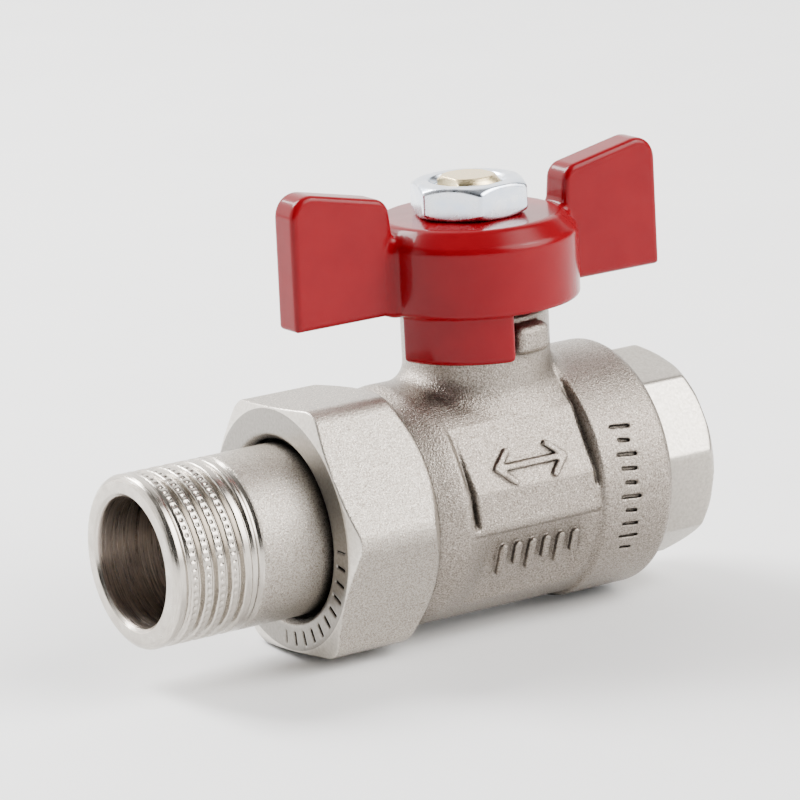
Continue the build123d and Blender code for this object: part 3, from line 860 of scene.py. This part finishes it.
def tab(x, y, z):
    """Stop tab that hangs from the hub."""
    r = np.hypot(x, y)
    turn = np.degrees(np.arctan2(y, x)) % 360
    across = np.radians(np.abs(turn - TAB_FACING) - TAB_HALF_TURN) * r
    ring = both(r - TAB_R1, TAB_R0 - r, 0.4)
    return both(both(ring, across, 0.5), slab(z, TAB_Z0, HUB_Z0 + 2), 0.7)


def handle(finish):
    """Replaces the butterfly handle, whose thick paint rounds every edge."""
    x, y, z, place = grid((-27.4, -13.8, 17.2), (27.4, 13.8, 41.4), step=0.17)
    r = np.hypot(x, y)
    hub = both(r - HUB_R, slab(z, HUB_Z0, HUB_Z1), 0.5)
    hub = both(hub, slant(r - HUB_TOP_R, z - HUB_Z1, 1), 0.35)
    solid = union(union(hub, wings(x, y, z), 1.3), tab(x, y, z), 0.3)
    hole = double_d(x, y, STEM_FLAT + RUN, STEM_R + RUN)
    return mesh_of("butterfly_handle", cut(solid, hole, 0.2), place, finish)


def handle_nut(finish):
    """Replaces the nut on the handle."""
    x, y, z, place = grid((-8, -8, 33.7), (8, 8, 38.9), step=0.08)
    r = np.hypot(x, y)
    solid = polygon(x, y, TOP_NUT_FLAT, 6, TOP_NUT_TURN, 0.35)
    solid = both(solid, slant(r - TOP_NUT_FACE_R, z - TOP_NUT_Z1, TOP_NUT_FACE_SLOPE), 0.3)
    solid = both(solid, slant(r - TOP_NUT_FOOT_R, TOP_NUT_Z0 - z, TOP_NUT_FOOT_SLOPE), 0.3)
    solid = both(solid, slab(z, TOP_NUT_Z0, TOP_NUT_Z1), 0.25)
    countersink = np.maximum(0, z - (TOP_NUT_Z1 - 0.7))
    bore_r = STEM_R + RUN + 0.18 * helix(z, x, y, STEM_PITCH) + countersink
    return mesh_of("plated_handle_nut", cut(solid, r - bore_r, 0.08), place, finish)


def stem(finish):
    """Replaces the stem."""
    x, y, z, place = grid((-5.6, -5.6, 8.2), (5.6, 5.6, 39.2), step=0.11)
    r = np.hypot(x, y)
    tang = np.maximum(np.maximum(np.abs(x) - TANG_HALF_X, np.abs(y) - TANG_HALF_Y), slab(z, TANG_Z0, 12.0))
    collar = both(r - STEM_COLLAR_R, slab(z, STEM_COLLAR_Z0, STEM_COLLAR_Z1), 0.15)
    bar_r = STEM_R - 0.28 * helix(z, x, y, STEM_PITCH) * ramp(z, 33.4, 34.2)
    shank = both(r - bar_r, slab(z, 12.5, STEM_FLAT_Z0 + 0.4))
    flats = both(double_d(x, y, STEM_FLAT, bar_r), slab(z, STEM_FLAT_Z0, STEM_TOP), 0.1)
    flats = both(flats, slant(r - STEM_END_R, z - STEM_TOP, 1), 0.1)
    solid = np.minimum(np.minimum(tang, collar), np.minimum(shank, flats))
    for middle in RING_GROOVES:
        groove = slab(z, middle - RING_GROOVE_HALF, middle + RING_GROOVE_HALF)
        solid = cut(solid, np.maximum(RING_GROOVE_R - r, groove), 0.05)
    return mesh_of("brass_stem", solid, place, finish)


# ------------------------------------------------------------------------------------- stage
STUDIO_LEVEL = 0.06                         # brightness between the patches
# Each patch is (direction, cosine of its outer edge, cosine of its inner edge, strength).
STUDIO_PATCHES = (
    ((0.53, -0.58, 0.62), 0.84, 0.955, 8.5),        # window up in front and to the right
    ((0.53, -0.82, 0.20), 0.85, 0.96, 2.2),         # its glow lower down
    ((0.25, 0.94, 0.22), 0.45, 0.85, 2.6),          # backdrop
    ((0.0, 0.1, 1.0), 0.60, 0.92, 0.2),             # ceiling
    ((-0.80, 0.55, 0.15), 0.70, 0.95, 2.4),         # wall at the back left
)


def stage():
    """White table and two soft boxes."""
    bpy.ops.mesh.primitive_plane_add(size=30, location=(0, 0, CAD_BOX[0][2] - 0.2 * MM))
    table = bpy.context.object
    table.name = "table"
    finish = Finish("table_white", (0.93, 0.93, 0.93), metallic=0.0, roughness=0.7)
    finish.feed("Base Color", finish.tint(finish.noise(30), (0.92, 0.92, 0.92), (0.94, 0.94, 0.94)))
    table.data.materials.append(finish.material)
    area("key_light", place=(0.42, -0.40, 0.55), size=0.22, watts=1.6)
    area("back_light", place=(-0.25, 0.55, 0.60), size=0.35, watts=13.0)


def area(name, place, size, watts):
    """Square soft box that faces the valve."""
    light = bpy.data.lights.new(name, "AREA")
    light.size = size
    light.energy = watts
    obj = bpy.data.objects.new(name, light)
    obj.location = place
    middle = Vector((0, 0, 0.01))
    obj.rotation_euler = (middle - Vector(place)).to_track_quat("-Z", "Y").to_euler()
    bpy.context.scene.collection.objects.link(obj)


def surroundings():
    """Dim studio with soft bright patches."""
    world = bpy.data.worlds.new("studio")
    bpy.context.scene.world = world
    world.use_nodes = True
    nodes, links = world.node_tree.nodes, world.node_tree.links
    background = nodes["Background"]
    background.inputs["Color"].default_value = (1, 0.985, 0.965, 1)
    level = nodes.new("ShaderNodeValue").outputs[0]
    level.default_value = STUDIO_LEVEL
    for facing, wide, narrow, strength in STUDIO_PATCHES:
        total = nodes.new("ShaderNodeMath")
        total.operation = "ADD"
        links.new(level, total.inputs[0])
        links.new(patch(nodes, links, facing, wide, narrow, strength), total.inputs[1])
        level = total.outputs[0]
    links.new(level, background.inputs["Strength"])


def patch(nodes, links, facing, wide, narrow, strength):
    """Brightness of one patch; wide and narrow are the cosines of its outer and inner edge."""
    place = nodes.new("ShaderNodeTexCoord")
    dot = nodes.new("ShaderNodeVectorMath")
    dot.operation = "DOT_PRODUCT"
    dot.inputs[1].default_value = Vector(facing).normalized()
    links.new(place.outputs["Generated"], dot.inputs[0])
    edge = nodes.new("ShaderNodeMapRange")
    edge.interpolation_type = "SMOOTHSTEP"
    edge.inputs["From Min"].default_value = wide
    edge.inputs["From Max"].default_value = narrow
    edge.inputs["To Max"].default_value = strength
    links.new(dot.outputs["Value"], edge.inputs["Value"])
    return edge.outputs["Result"]


def camera():
    """Long lens above and to the left of the valve's front, tipped a little."""
    azimuth, elevation, roll = (math.radians(a) for a in (-32.85, 14.0, -2.915))
    target = Vector((-11.35, 0, 12.75)) * MM
    distance = 560.4 * MM
    back = Vector((
        math.sin(azimuth) * math.cos(elevation),
        -math.cos(azimuth) * math.cos(elevation),
        math.sin(elevation),
    ))
    right = Vector((math.cos(azimuth), math.sin(azimuth), 0))
    tipped_right = right * math.cos(roll) + back.cross(right) * math.sin(roll)
    tipped_up = back.cross(tipped_right)
    lens = bpy.data.cameras.new("camera")
    lens.lens = 209.15
    lens.sensor_width = 36
    lens.clip_start = 0.01
    obj = bpy.data.objects.new("camera", lens)
    turn = Matrix((tipped_right, tipped_up, back)).transposed().to_4x4()
    obj.matrix_world = Matrix.Translation(target + back * distance) @ turn
    bpy.context.scene.collection.objects.link(obj)
    bpy.context.scene.camera = obj


# ------------------------------------------------------------------------------------- assembly
def place_piece(obj, body, node):
    """Hangs a sculpted piece on its body in place of a CAD node."""
    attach(obj, body)
    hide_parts(node)


def dress(finish, slot, *nodes):
    """Gives CAD meshes that stay their material."""
    for node in nodes:
        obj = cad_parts[node]
        obj.data.materials.clear()
        obj.data.materials.append(finish)


forged = blasted_nickel("forged_nickel", (0.145, 0.118, 0.096), (0.44, 0.395, 0.345))
blasted = blasted_nickel("blasted_nickel", (0.24, 0.205, 0.17), (0.60, 0.555, 0.495))
satin = satin_nickel("satin_nickel", (0.38, 0.35, 0.31), (0.50, 0.465, 0.415))
# the inner ring of the nut's face is darkened to 0.4 as painted shade, for the shadowed floor that it
# reflects
nut_face = satin_nickel("nut_face_nickel", (0.56, 0.52, 0.465), (0.72, 0.68, 0.615), NUT_FACE_R, 0.4)
bright = bright_nickel()
bored = bored_brass()
brass = raw_brass()
rubber = plain("black_rubber", (0.02, 0.02, 0.02), 0.0, 0.5, scale=900)
ptfe = plain("white_ptfe", (0.82, 0.82, 0.79), 0.0, 0.45, scale=700, change=0.05)
chrome = plain("ball_chrome", (0.82, 0.83, 0.85), 1.0, 0.08, scale=400, change=0.04, tallest=0.005)

place_piece(valve_body(forged, satin, bored, bright), "housing", "valve_body")
place_piece(union_insert(bright), "housing", "union_adapter")
place_piece(union_nut(blasted, nut_face), "nut", "union_nut")
place_piece(tailpiece(blasted, bright, bored), "tail", "tailpiece")
place_piece(handle(red_paint()), "turning_set", "handle")
place_piece(handle_nut(zinc_plate()), "turning_set", "handle_nut")
place_piece(stem(brass), "turning_set", "stem")

dress(rubber, "black_rubber", "adapter_o_ring", "tailpiece_o_ring", "seat_backing_ring_body_side",
      "seat_backing_ring_union_side", "stem_o_ring_lower", "stem_o_ring_upper")
dress(chrome, "ball_chrome", "ball")
dress(ptfe, "white_ptfe", "seat_ring_body_side", "seat_ring_union_side", "stem_thrust_washer", "stem_packing")
dress(brass, "raw_brass", "packing_follower", "gland_nut")

stage()
surroundings()
camera()
